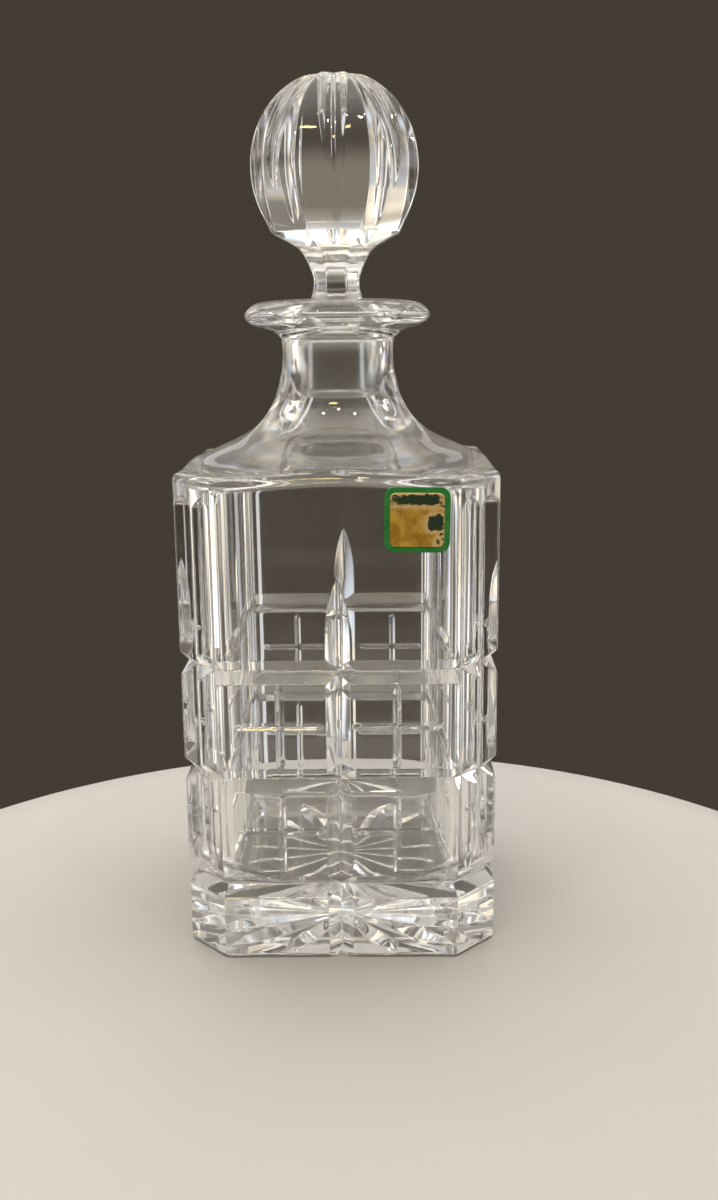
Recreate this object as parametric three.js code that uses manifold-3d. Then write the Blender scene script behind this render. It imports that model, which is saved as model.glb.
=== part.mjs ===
// Square cut-crystal decanter with a faceted ball stopper and a small worn foil label.
// Millimetres, +Z up. The origin is the middle of the base, and the front face looks along -Y.
import * as THREE from "three";
import { mergeVertices } from "three/addons/utils/BufferGeometryUtils.js";
import Module from "manifold-3d";

const wasm = await Module();
wasm.setup();

// Body: a square block with its corners cut off, under a shoulder turned on the axis.
const HALF_WIDTH = 46; // axis to each flat face
const CORNER_CUT = 11.7; // length of face that each corner chamfer takes away
const HEEL = 1; // bevel round the bottom edge
const TURNED_SIDES = 40;

// Hollow: a square with round corners, under its own turned shoulder and the tapered bore.
const INNER_HALF_WIDTH = 39;
const INNER_CORNER_RADIUS = 16;
const FLOOR = 21; // glass under the hollow

// Neck and lip.
const LIP_TOP = 190.6;
const BORE_TOP_RADIUS = 12.45;
const BORE_FOOT_RADIUS = 11.75;
const BORE_FOOT = 160.5;
const GROUND_GAP = 0.3; // between the plug and the bore

// Cuts in the body. Every wheel leaves a V, whose slope is its depth over its half width.
const GROOVE_HEIGHTS = [22.5, 55.5, 88];
const GROOVE = { depth: 3.1, slope: 0.9 };
const MITRE = { depth: 2.7, slope: 0.75, tip: 115, full: 92 }; // shallower from full up to the tip
const PANE = { depth: 0.85, slope: 0.75, inner: 4, outer: 29.5, middle: 16.6, runOut: 2 };
const PANE_BANDS = [
  { low: 25.9, high: 52.1, bar: 40 },
  { low: 58.9, high: 84.6, bar: 72 },
];
const FLUTE = { depth: 2.75, slope: 0.74, low: 25.5, high: 137.5, leaf: 13, stop: 4 };
const RAY = { count: 16, depth: 2.8, slope: 0.75, reach: 39, cornerReach: 48 };
const LIFT = 3; // how far each wheel stands out of the surface it cuts
const HOLLOW_REACH = 6; // half width of the round-edged wheel
const HOLLOW_LIFT = 7; // how far it stands out of the surface

// Stopper. Radii are to the flats of its eight sides.
const STOPPER_SIDES = 8;
const BALL_RADIUS = 24;
const BALL_HEIGHT = 227; // height of the ball's widest part
const BALL_RISE = 27.1; // from there to the pole, before the petals are cut through it
const BALL_DROP = 26.5; // the lower half is part of an ellipse that ends at the foot
const BALL_FOOT = 213;
const STEM_FOOT = 188.4;
const PLUG_TOP = 186.5;
const PLUG_FOOT = 161;
const PETAL = { depth: 1.6, halfWidth: 4, tip: 105, full: 60, crown: 32 }; // angles are degrees from the pole
const PETAL_CROWN_SHARE = 0.3; // of the full depth, where the petals meet at the pole

// Label, on the front face's upper right.
const LABEL = { x: 22.3, z: 131.2, size: 18, radius: 2.8, thickness: 0.25, tilt: 0.012 };
const FOIL = { size: 14.8, radius: 1.4, thickness: 0.12 };
const GLUE_GAP = 0.05;

const CRYSTAL = { color: 0xe9edf0, roughness: 0.03, metalness: 0 };
const GREEN_PAPER = { color: 0x0f6a3c, roughness: 0.45, metalness: 0 };
const GOLD_FOIL = { color: 0xb08a3a, roughness: 0.35, metalness: 0.9 };

// ---- Solids ----

/** The manifold-3d solid of a closed three.js geometry. */
function solid(geometry) {
  geometry.deleteAttribute("normal");
  geometry.deleteAttribute("uv");
  const merged = mergeVertices(geometry, 1e-4);
  const triVerts = [];
  for (let i = 0; i < merged.index.count; i += 3) {
    const [a, b, c] = [0, 1, 2].map((k) => merged.index.getX(i + k));
    if (a !== b && b !== c && c !== a) triVerts.push(a, b, c);
  }
  return new wasm.Manifold(
    new wasm.Mesh({
      numProp: 3,
      vertProperties: merged.attributes.position.array,
      triVerts: new Uint32Array(triVerts),
    }),
  );
}

/** A named mesh of a manifold-3d solid. */
function piece(name, shape, finish) {
  const made = shape.getMesh();
  const geometry = new THREE.BufferGeometry();
  geometry.setAttribute("position", new THREE.BufferAttribute(made.vertProperties, 3));
  geometry.setIndex(new THREE.BufferAttribute(made.triVerts, 1));
  geometry.computeVertexNormals();
  const mesh = new THREE.Mesh(geometry, new THREE.MeshStandardMaterial(finish));
  mesh.name = name;
  return mesh;
}

/** A solid turned about the Z axis from [radius, height] points that run upwards. */
function turned(profile, sides = TURNED_SIDES, startAngle = 0) {
  const points = profile.map(([r, z]) => new THREE.Vector2(r, z));
  return solid(new THREE.LatheGeometry(points, sides, startAngle).rotateX(Math.PI / 2));
}

/** Points on a smooth curve through a few [radius, height] points. */
function smooth(points, steps) {
  const curve = new THREE.SplineCurve(points.map(([r, z]) => new THREE.Vector2(r, z)));
  return curve.getPoints(steps).map((p) => [p.x, p.y]);
}

/** A solid skinned over rings of points, counter-clockwise about the way they advance. */
function loft(rings, joined = false) {
  const n = rings[0].length;
  const index = [];
  const spans = joined ? rings.length : rings.length - 1;
  for (let i = 0; i < spans; i++) {
    const near = i * n;
    const far = ((i + 1) % rings.length) * n;
    for (let j = 0; j < n; j++) {
      const k = (j + 1) % n;
      index.push(near + j, near + k, far + k, near + j, far + k, far + j);
    }
  }
  if (!joined) {
    const last = (rings.length - 1) * n;
    for (let j = 1; j < n - 1; j++) {
      index.push(0, j + 1, j, last, last + j, last + j + 1);
    }
  }
  const positions = rings.flat().flatMap((p) => [p.x, p.y, p.z]);
  const geometry = new THREE.BufferGeometry();
  geometry.setAttribute("position", new THREE.Float32BufferAttribute(positions, 3));
  geometry.setIndex(index);
  return geometry;
}

/** Subtracts one tool after another. */
function cut(shape, tools) {
  return tools.reduce((left, tool) => left.subtract(solid(tool)), shape);
}

/** Copies of a geometry turned about the Z axis. */
function around(count, make, startAngle = 0) {
  return Array.from({ length: count }, (_, i) =>
    make(i).rotateZ(startAngle + (2 * Math.PI * i) / count),
  );
}

// ---- Cutting wheels ----

/** A V-shaped tool that follows stations {at, out, depth}, with side = out x the way it runs. */
function wheelCut(stations, side, slope) {
  return loft(stations.map(({ at, out, depth }) => {
    const reach = (LIFT + depth) / slope;
    return [[0, -depth], [reach, LIFT], [-reach, LIFT]].map(([across, up]) =>
      at.clone().addScaledVector(side, across).addScaledVector(out, up));
  }));
}

/** A round-edged tool that follows stations in the same way. */
function hollowCut(stations, side, wheelRadius) {
  const arc = [-1, -0.75, -0.5, -0.25, 0, 0.25, 0.5, 0.75, 1].map((t) => t * HOLLOW_REACH);
  return loft(stations.map(({ at, out, depth }) => {
    const section = arc.map((across) => [across, across ** 2 / (2 * wheelRadius) - depth]);
    section.push([HOLLOW_REACH, HOLLOW_LIFT], [-HOLLOW_REACH, HOLLOW_LIFT]);
    return section.map(([across, up]) =>
      at.clone().addScaledVector(side, across).addScaledVector(out, up));
  }));
}

/** A straight V cut from one point to another, where stations are [share of the way, depth]. */
function straightCut(from, to, out, slope, stations) {
  const side = out.clone().cross(to.clone().sub(from)).normalize();
  const placed = stations.map(([share, depth]) => ({
    at: from.clone().lerp(to, share),
    out,
    depth,
  }));
  return wheelCut(placed, side, slope);
}

/** The chamfered square at a height, moved inwards by inset. */
function outline(inset, z) {
  const w = HALF_WIDTH - inset;
  const c = CORNER_CUT - (2 - Math.SQRT2) * inset;
  return [0, 1, 2, 3].flatMap((k) => {
    const turn = (p) => p.applyAxisAngle(new THREE.Vector3(0, 0, 1), (k * Math.PI) / 2);
    return [
      turn(new THREE.Vector3(w, c - w, z)),
      turn(new THREE.Vector3(w, w - c, z)),
    ];
  });
}

/** A groove that runs level round the whole body. */
function groove(z) {
  const rise = (GROOVE.depth + LIFT) / GROOVE.slope;
  const bottom = outline(GROOVE.depth, z);
  const above = outline(-LIFT, z + rise);
  const below = outline(-LIFT, z - rise);
  return loft(bottom.map((p, i) => [p, above[i], below[i]]), true);
}

/** The upright mitre in the middle of a face, which ends in a spear point. */
function mitre() {
  const foot = -LIFT;
  const span = MITRE.tip - foot;
  const shareAt = (z) => (z - foot) / span;
  const point = [17, 11, 7, 3].map((fromTip) => {
    const left = 1 - fromTip / (MITRE.tip - MITRE.full);
    return [shareAt(MITRE.tip - fromTip), MITRE.depth * (1 - left ** 3)];
  });
  return straightCut(
    new THREE.Vector3(0, -HALF_WIDTH, foot),
    new THREE.Vector3(0, -HALF_WIDTH, MITRE.tip),
    new THREE.Vector3(0, -1, 0),
    MITRE.slope,
    [[0, MITRE.depth], [shareAt(MITRE.full), MITRE.depth], ...point, [1, 0], [1.01, -0.3]],
  );
}

/** A fine cut on the front face that runs out at both ends. */
function paneBar(from, to) {
  const share = PANE.runOut / from.distanceTo(to);
  return straightCut(from, to, new THREE.Vector3(0, -1, 0), PANE.slope, [
    [-0.25 * share, -0.3],
    [0, 0],
    [share, PANE.depth],
    [1 - share, PANE.depth],
    [1, 0],
    [1 + 0.25 * share, -0.3],
  ]);
}

/** The crossed fine cuts in the left and right halves of the two middle bands. */
function paneBars() {
  const onFace = (x, z) => new THREE.Vector3(x, -HALF_WIDTH, z);
  return PANE_BANDS.flatMap(({ low, high, bar }) =>
    [-1, 1].flatMap((half) => [
      paneBar(onFace(half * PANE.inner, bar), onFace(half * PANE.outer, bar)),
      paneBar(onFace(half * PANE.middle, low), onFace(half * PANE.middle, high)),
    ]),
  );
}

/** One of the two upright flutes on the chamfer that looks along +X, before it is turned. */
function cornerFlute(hand) {
  const chamferAt = Math.SQRT2 * HALF_WIDTH - CORNER_CUT / Math.SQRT2;
  const quarter = CORNER_CUT / Math.SQRT2 / 2;
  const span = FLUTE.high - FLUTE.low;
  const depthAt = (t) => FLUTE.depth * Math.sin((t * Math.PI) / 2);
  const leaf = [0, 0.1, 0.3, 0.6, 1].map((t) => [(t * FLUTE.leaf) / span, depthAt(t)]);
  const stop = [1, 0.6, 0.3, 0.1, 0].map((t) => [1 - (t * FLUTE.stop) / span, depthAt(t)]);
  return straightCut(
    new THREE.Vector3(chamferAt, hand * quarter, FLUTE.low),
    new THREE.Vector3(chamferAt, hand * quarter, FLUTE.high),
    new THREE.Vector3(1, 0, 0),
    FLUTE.slope,
    [[-0.002, -0.3], ...leaf, ...stop, [1.002, -0.3]],
  );
}

/** One ray of the star under the base. */
function starRay(angle) {
  const along = new THREE.Vector3(Math.cos(angle), Math.sin(angle), 0);
  const toFace = RAY.reach / Math.max(Math.abs(along.x), Math.abs(along.y));
  const reach = Math.min(toFace, RAY.cornerReach);
  return straightCut(
    new THREE.Vector3(),
    along.clone().multiplyScalar(reach),
    new THREE.Vector3(0, 0, -1),
    RAY.slope,
    [[-0.02, 0.1], [0.35, 0.55 * RAY.depth], [0.7, RAY.depth], [0.88, 0.7 * RAY.depth], [1, 0], [1.02, -0.3]],
  );
}

// ---- Decanter ----

function outerTurned() {
  const shoulder = smooth(
    [[70, 142.6], [57.4, 143.1], [46, 143.5], [36.5, 147.3], [26.1, 152.6], [20, 160], [17.3, 168.5],
      [16.6, 175], [16.9, 179.2]],
    22,
  );
  const lip = smooth(
    [[16.9, 179.2], [19.4, 181.3], [26, 183.4], [27.7, 186.3], [24.9, 189.2], [20, 190.2], [14, LIP_TOP]],
    15,
  );
  return turned([[0, -1], [70, -1], ...shoulder, ...lip.slice(1), [0, LIP_TOP]]);
}

function outerBlock() {
  return solid(loft([outline(HEEL, 0), outline(0, HEEL), outline(0, LIP_TOP + 5)]));
}

function hollow() {
  const w = INNER_HALF_WIDTH;
  const r = INNER_CORNER_RADIUS;
  const square = new THREE.Shape();
  [[1, -1, -0.5], [1, 1, 0], [-1, 1, 0.5], [-1, -1, 1]].forEach(([sx, sy, start]) => {
    square.absarc(sx * (w - r), sy * (w - r), r, start * Math.PI, (start + 0.5) * Math.PI, false);
  });
  square.closePath();
  const block = new THREE.ExtrudeGeometry(square, {
    depth: LIP_TOP,
    bevelEnabled: false,
    curveSegments: 6,
  });
  const floor = smooth([[30, FLOOR + 0.2], [38, FLOOR + 0.9], [44, FLOOR + 2.4], [49, FLOOR + 5]], 8);
  const shoulder = smooth(
    [[58, 138], [48.5, 139.4], [39, 141.3], [32, 143.8], [24, 147.6], [16.8, 152.6], [12.9, 157.4],
      [BORE_FOOT_RADIUS, BORE_FOOT]],
    12,
  );
  const inside = turned([
    [0, FLOOR],
    ...floor,
    [58, FLOOR + 20],
    ...shoulder,
    [BORE_TOP_RADIUS, LIP_TOP - 2],
    [BORE_TOP_RADIUS, LIP_TOP + 1],
    [0, LIP_TOP + 1],
  ]);
  const mouth = turned([
    [0, LIP_TOP - 2.4],
    [BORE_TOP_RADIUS - 0.4, LIP_TOP - 2.4],
    [BORE_TOP_RADIUS + 1.4, LIP_TOP + 0.4],
    [0, LIP_TOP + 0.4],
  ]);
  return inside.intersect(solid(block).add(neckCore())).add(mouth);
}

/** Keeps the bore above the top of the hollow's square block. */
function neckCore() {
  return turned([[0, BORE_FOOT], [20, BORE_FOOT], [20, LIP_TOP + 2], [0, LIP_TOP + 2]]);
}

function decanterBody() {
  const blank = outerTurned().intersect(outerBlock());
  const onFaces = [mitre, ...paneBars().map((bar) => () => bar.clone())];
  const faceCuts = onFaces.flatMap((make) => around(4, make));
  const cornerCuts = [-1, 1].flatMap((hand) => around(4, () => cornerFlute(hand), Math.PI / 4));
  const star = Array.from({ length: RAY.count }, (_, i) => starRay((2 * Math.PI * i) / RAY.count));
  const cutGlass = cut(blank, [
    ...GROOVE_HEIGHTS.map(groove),
    ...faceCuts,
    ...cornerCuts,
    ...star,
  ]);
  return piece("decanter_body", cutGlass.subtract(hollow()), CRYSTAL);
}

// ---- Stopper ----

/** A point on the ball's outline, and its outward direction, at an angle in degrees from the pole. */
function onBall(fromPole, around) {
  const a = THREE.MathUtils.degToRad(fromPole);
  const rise = fromPole < 90 ? BALL_RISE : BALL_DROP;
  const outward = new THREE.Vector3(Math.cos(around), Math.sin(around), 0);
  const at = outward.clone().multiplyScalar(BALL_RADIUS * Math.sin(a));
  at.z = BALL_HEIGHT + rise * Math.cos(a);
  const out = outward.multiplyScalar(rise * Math.sin(a));
  out.z = BALL_RADIUS * Math.cos(a);
  return { at, out: out.normalize() };
}

/** Depth of a petal flute at an angle from the pole: shallow at the pole, and fading out to its tip. */
function petalDepth(fromPole) {
  const offPole = Math.min(1, Math.abs(fromPole) / PETAL.crown);
  const toTip = Math.min(1, (PETAL.tip - fromPole) / (PETAL.tip - PETAL.full));
  return PETAL.depth * toTip * (PETAL_CROWN_SHARE + (1 - PETAL_CROWN_SHARE) * offPole);
}

/** One petal flute down a side of the ball, from just past the pole to its pointed tip. */
function petal(angle) {
  const side = new THREE.Vector3(-Math.sin(angle), Math.cos(angle), 0);
  const stops = [-6, 0, 8, 16, 24, PETAL.crown, 46, PETAL.full, 70, 80, 88, 95, 100, PETAL.tip - 1.2, PETAL.tip];
  const stations = stops.map((fromPole) => ({ ...onBall(fromPole, angle), depth: petalDepth(fromPole) }));
  stations.push({ ...onBall(PETAL.tip + 2, angle), depth: -0.6 });
  return hollowCut(stations, side, PETAL.halfWidth ** 2 / (2 * PETAL.depth));
}

function stopper() {
  const toRidge = 1 / Math.cos(Math.PI / STOPPER_SIDES);
  const footAngle = 90 + THREE.MathUtils.radToDeg(Math.asin((BALL_HEIGHT - BALL_FOOT) / BALL_DROP));
  const ballAngles = [footAngle, 115, 107, 98, 90, 81, 72, 63, 54, 45, 36, 27, 18, 9, 0];
  const ball = ballAngles.map((fromPole) => {
    const { at } = onBall(fromPole, 0);
    return [at.x, at.z];
  });
  const stem = smooth(
    [[9.4, STEM_FOOT], [7.8, 190.4], [6.7, 195.4], [7.8, 199.6], [10.3, 204.2], [13.5, 206.7], [18.7, 209.4]],
    12,
  );
  const flats = [[0, STEM_FOOT], ...stem, ...ball];
  const faceted = turned(flats.map(([r, z]) => [r * toRidge, z]), STOPPER_SIDES, Math.PI / STOPPER_SIDES);
  const taper = (BORE_TOP_RADIUS - BORE_FOOT_RADIUS) / (LIP_TOP - 2 - BORE_FOOT);
  const plugRadius = (z) => BORE_FOOT_RADIUS + taper * (z - BORE_FOOT) - GROUND_GAP;
  const plug = turned([
    [0, PLUG_FOOT],
    [plugRadius(PLUG_FOOT) - 0.8, PLUG_FOOT],
    [plugRadius(PLUG_FOOT + 0.8), PLUG_FOOT + 0.8],
    [plugRadius(PLUG_TOP), PLUG_TOP],
    [9.6, STEM_FOOT + 0.6],
    [0, STEM_FOOT + 0.6],
  ]);
  const petals = Array.from({ length: STOPPER_SIDES }, (_, i) => petal((2 * Math.PI * i) / STOPPER_SIDES));
  return piece("stopper", cut(faceted.add(plug), petals), CRYSTAL);
}

// ---- Label ----

/** A thin square with round corners that faces along -Y, with its back at the given distance. */
function sheet(name, { size, radius, thickness }, back, finish) {
  const h = size / 2;
  const shape = new THREE.Shape();
  [[1, -1, -0.5], [1, 1, 0], [-1, 1, 0.5], [-1, -1, 1]].forEach(([sx, sy, start]) => {
    const middle = h - radius;
    shape.absarc(sx * middle, sy * middle, radius, start * Math.PI, (start + 0.5) * Math.PI, false);
  });
  shape.closePath();
  const geometry = new THREE.ExtrudeGeometry(shape, {
    depth: thickness,
    bevelEnabled: false,
    curveSegments: 5,
  });
  geometry.rotateX(Math.PI / 2).rotateY(LABEL.tilt).translate(LABEL.x, -back, LABEL.z);
  return piece(name, solid(geometry), finish);
}

function label() {
  const back = HALF_WIDTH + GLUE_GAP;
  const foilBack = back + LABEL.thickness + GLUE_GAP;
  return [
    sheet("label_backing", LABEL, back, GREEN_PAPER),
    sheet("label_foil", FOIL, foilBack, GOLD_FOIL),
  ];
}

const group = new THREE.Group();
group.name = "decanter";
group.add(decanterBody(), stopper(), ...label());

export default group;
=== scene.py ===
"""A square cut-crystal decanter with a faceted ball stopper and a worn foil label.

The glass is drawn in millimetres as closed grids of rings and turned into metres when its mesh
is made. Every cut is a depth below the uncut surface, and the columns of each grid follow the
edges of the cuts, so that facets stay flat and their edges stay crisp but softly rounded.
"""
import math

import bpy
import numpy as np
from mathutils import Matrix, Vector


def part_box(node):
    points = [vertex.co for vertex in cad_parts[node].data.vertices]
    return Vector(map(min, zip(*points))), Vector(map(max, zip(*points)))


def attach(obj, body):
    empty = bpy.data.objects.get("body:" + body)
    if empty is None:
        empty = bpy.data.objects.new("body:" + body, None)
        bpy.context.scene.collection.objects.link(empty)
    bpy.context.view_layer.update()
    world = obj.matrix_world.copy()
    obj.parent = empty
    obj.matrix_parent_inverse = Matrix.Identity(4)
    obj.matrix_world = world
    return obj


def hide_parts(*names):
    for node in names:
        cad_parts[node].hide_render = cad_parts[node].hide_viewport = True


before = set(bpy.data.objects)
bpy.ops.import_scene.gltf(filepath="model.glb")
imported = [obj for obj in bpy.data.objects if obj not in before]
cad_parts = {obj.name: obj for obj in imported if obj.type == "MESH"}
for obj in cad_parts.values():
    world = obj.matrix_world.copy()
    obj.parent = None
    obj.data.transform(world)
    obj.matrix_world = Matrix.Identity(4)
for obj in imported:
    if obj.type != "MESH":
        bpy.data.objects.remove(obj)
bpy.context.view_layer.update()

MM = 0.001  # metres in a millimetre

# ---- Sizes, in millimetres, following the CAD model ----

body_high = np.array(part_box("decanter_body")[1]) / MM
stopper_low = np.array(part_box("stopper")[0]) / MM

HALF_WIDTH = body_high[0]
CORNER_CUT = 11.7  # taken off each end of a face by the chamfers
HEEL = 1  # bevel round the foot
LIP_TOP = body_high[2]
FACE_END = HALF_WIDTH - CORNER_CUT
CHAMFER_AT = math.sqrt(2) * HALF_WIDTH - CORNER_CUT / math.sqrt(2)
CHAMFER_END = CORNER_CUT / math.sqrt(2)
CORNER_SHRINK = math.sqrt(2) - 1  # how far a corner moves along its face for 1 mm of inset

INNER_HALF_WIDTH = 39
INNER_CORNER_RADIUS = 16
FLOOR = 21  # height of the hollow's floor
BORE_TOP_RADIUS, BORE_TOP, BORE_FOOT_RADIUS, BORE_FOOT = 12.45, 188.1, 11.75, 160.5
TAPER_TOP = LIP_TOP - 2  # where the plug's taper would reach the bore's top radius

GROOVE_HEIGHTS = (22.5, 55.5, 88)
GROOVE_DEPTH, GROOVE_SLOPE = 3.1, 0.9
MITRE_DEPTH, MITRE_SLOPE, MITRE_TIP, MITRE_FULL = 2.7, 0.75, 115, 92
PANE_DEPTH, PANE_SLOPE, PANE_INNER, PANE_OUTER, PANE_MIDDLE, PANE_RUN_OUT = 0.85, 0.75, 4, 29.5, 16.6, 2
PANE_BANDS = ((25.9, 52.1, 40), (58.9, 84.6, 72))  # low end, high end, level bar
FLUTE_DEPTH, FLUTE_SLOPE, FLUTE_LOW, FLUTE_LEAF, FLUTE_HIGH, FLUTE_STOP = 2.75, 0.74, 25.5, 13, 137.5, 4
RAY_COUNT, RAY_DEPTH, RAY_SLOPE, RAY_REACH, RAY_CORNER_REACH, RAY_CENTRE_DEPTH = 16, 2.8, 0.75, 39, 48, 0.1

STOPPER_SIDES = 8
BALL_RADIUS, BALL_HEIGHT, BALL_RISE, BALL_DROP, BALL_FOOT = 24, 227, 27.1, 26.5, 213
STEM_FOOT, PLUG_TOP, PLUG_FOOT = 188.4, 186.5, stopper_low[2]
PETAL_DEPTH, PETAL_HALF, PETAL_TIP, PETAL_FULL, PETAL_CROWN = 1.6, 4, 105, 60, 32
PETAL_CROWN_SHARE = 0.3  # of the full depth, where the petals meet at the pole

# How the wheel-cut edges are softened by polishing.
EDGE = 0.16  # reach of the rounding where two surfaces meet
VALLEY = 0.1  # and at the bottom of a V
CORNER_TANGENT = 0.145  # and at the chamfers' edges
NO_CUT = -0.4  # depth where a wheel is clear of the glass
LEAST_EDGE = 0.35  # half width kept for a cut's columns where it has faded out


# ---- Numbers ----

def smooth_max(a, b):
    """The larger of two depths, with the edge between them rounded."""
    return np.maximum(a, b) + np.maximum(EDGE - np.abs(a - b), 0) ** 2 / (4 * EDGE)


def v_cut(depth, slope, off):
    """Depth of a V-shaped cut at a distance off its line, with the valley rounded."""
    return depth - slope * np.hypot(off, VALLEY)


def ramp(value, start, end):
    """0 before start, 1 past end, and smooth between them."""
    t = np.clip((value - start) / (end - start), 0, 1)
    return t * t * (3 - 2 * t)


def spline(points, steps):
    """A Catmull-Rom curve through [radius, height] points, its ends repeated."""
    p = np.array([points[0], *points, points[-1]], float)
    out = []
    for u in np.linspace(0, len(points) - 1, steps):
        i = min(int(u), len(points) - 2)
        t = u - i
        a, b, c, d = p[i:i + 4]
        v0, v1 = (c - a) / 2, (d - b) / 2
        out.append((2 * b - 2 * c + v0 + v1) * t**3 + (-3 * b + 3 * c - 2 * v0 - v1) * t**2 + v0 * t + b)
    return np.array(out)


def lengths(points):
    """Distance along a line of points, from its start to each of them."""
    return np.concatenate([[0], np.cumsum(np.linalg.norm(np.diff(points, axis=0), axis=1))])


def ring(radius, angle, z):
    """Points at a radius, angle and height, each a number or one number for every point."""
    shape = np.broadcast(radius, angle, z).shape
    out = np.empty(shape + (3,))
    out[..., 0], out[..., 1], out[..., 2] = radius * np.cos(angle), radius * np.sin(angle), z
    return out


def bend(start, corner, end, steps):
    """Rings along a curve that leaves start and reaches end, pulled towards corner."""
    for t in np.linspace(0, 1, steps + 2)[1:-1]:
        yield (1 - t) ** 2 * start + 2 * t * (1 - t) * corner + t * t * end


# ---- Meshes ----

def strip(faces, low, n_low, high, n_high):
    """Joins two rings, given by their first indices and sizes.

    Either may be a single point, and the lower may have twice as many points as the higher.
    """
    if n_low == n_high:
        for j in range(n_low):
            k = (j + 1) % n_low
            faces.append((low + j, low + k, high + k, high + j))
    elif n_low == 1:
        faces.extend((low, high + (j + 1) % n_high, high + j) for j in range(n_high))
    elif n_high == 1:
        faces.extend((low + j, low + (j + 1) % n_low, high) for j in range(n_low))
    elif n_low == 2 * n_high:
        for j in range(n_high):
            k = (j + 1) % n_high
            middle, far = low + 2 * j + 1, low + (2 * j + 2) % n_low
            faces.append((low + 2 * j, middle, high + j))
            faces.append((middle, far, high + k, high + j))
    else:
        raise ValueError(f"rings of {n_low} and {n_high} points can't be joined")


def skin(name, rings, materials, slot_of=None):
    """A closed piece skinned over rings that start and end in a single point.

    slot_of gives the material of each row of faces.
    """
    rings = [np.atleast_2d(r) for r in rings]
    starts = np.concatenate([[0], np.cumsum([len(r) for r in rings])])
    faces, slots = [], []
    for i in range(len(rings) - 1):
        strip(faces, int(starts[i]), len(rings[i]), int(starts[i + 1]), len(rings[i + 1]))
        slots.extend([slot_of[i] if slot_of else 0] * (len(faces) - len(slots)))
    return piece(name, np.vstack(rings), faces, materials, slots)


def piece(name, points, faces, materials, slots=None):
    """A smooth-shaded object from points in millimetres."""
    mesh = bpy.data.meshes.new(name)
    mesh.from_pydata((np.asarray(points) * MM).tolist(), [], faces)
    for material in materials:
        mesh.materials.append(material)
    if slots is not None:
        mesh.polygons.foreach_set("material_index", slots)
    mesh.shade_smooth()
    mesh.update()
    made = bpy.data.objects.new(name, mesh)
    bpy.context.scene.collection.objects.link(made)
    return made


def flat_facets(made):
    """Lets the large faces keep their own direction, so that only the edges look round."""
    weigh = made.modifiers.new("flat_facets", "WEIGHTED_NORMAL")
    weigh.mode = "FACE_AREA"
    weigh.weight = 100
    weigh.thresh = 0.05
    return made


# ---- Decanter: cuts ----

def groove_depth(z):
    """Inset of the whole outline at a height, from the heel bevel and the level grooves."""
    inset = smooth_max(0 * z, HEEL - z)
    for at in GROOVE_HEIGHTS:
        inset = smooth_max(inset, v_cut(GROOVE_DEPTH, GROOVE_SLOPE, z - at))
    return inset


def mitre_depth(z):
    """Depth of the upright mitre of a face, which ends in a spear point."""
    below_tip = np.clip((MITRE_TIP - z) / (MITRE_TIP - MITRE_FULL), 0, 1)
    cut = MITRE_DEPTH * (1 - (1 - below_tip) ** 3)
    return np.where(z < MITRE_TIP, cut, NO_CUT * ramp(z, MITRE_TIP, MITRE_TIP + 1))


def run_out(value, low, high):
    """Depth of a fine pane cut along its line, fading at both ends."""
    inside = np.minimum(value - low, high - value)
    cut = PANE_DEPTH * np.clip(inside / PANE_RUN_OUT, 0, 1)
    return np.where(inside > 0, cut, np.maximum(inside, NO_CUT))


def upright_bar_depth(z):
    """Depth of the upright pane cuts at a height: one cut in each band."""
    return np.maximum.reduce([run_out(z, low, high) for low, high, _ in PANE_BANDS])


def flute_depth(z):
    """Depth of a corner flute, which starts in a leaf and stops short of the shoulder."""
    leaf = np.sin(np.clip((z - FLUTE_LOW) / FLUTE_LEAF, 0, 1) * math.pi / 2)
    stop = np.cos(np.clip((z - FLUTE_HIGH + FLUTE_STOP) / FLUTE_STOP, 0, 1) * math.pi / 2)
    clear = NO_CUT * (ramp(-z, -FLUTE_LOW, 1 - FLUTE_LOW) + ramp(z, FLUTE_HIGH, FLUTE_HIGH + 1))
    return FLUTE_DEPTH * leaf * stop + clear


def edge_of(depth, inset, slope):
    """Half width at which a V of that depth meets a surface that already lies inset."""
    return np.maximum((depth - inset) / slope, LEAST_EDGE)


# ---- Decanter: outer wall ----

MITRE_SHARES = (0.05, 0.25, 0.45, 0.65, 0.85, 1)
BAR_SHARES = (0.35, 1)
FLUTE_SHARES = (0.12, 0.4, 0.7, 1)
FACE_BEFORE_BAR = (4.4, 5.0, 5.7, 6.4, 8, 10, 12, 14)
FACE_AFTER_BAR = (19.5, 21.5, 23.5, 25.5, 26.9, 27.5, 28.1, 28.7, 29.2, 29.7, 31.2, 32.6, 33.6)
FACE_FIXED_TO = 29.7  # columns beyond this move with the corner
QUARTERS = [k * math.pi / 2 for k in range(4)]


def beside(edge, slope, shares, middle_of_edge=False):
    """Distances from a V's line to the columns that follow one of its sides out of the cut."""
    half_round = EDGE / slope
    inner = edge - np.minimum(half_round, 0.6 * edge)
    columns = [share * inner for share in shares]
    if middle_of_edge:
        columns.append((inner + edge) / 2)
    columns += [edge, edge + half_round]
    return np.hstack(columns)


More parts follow.
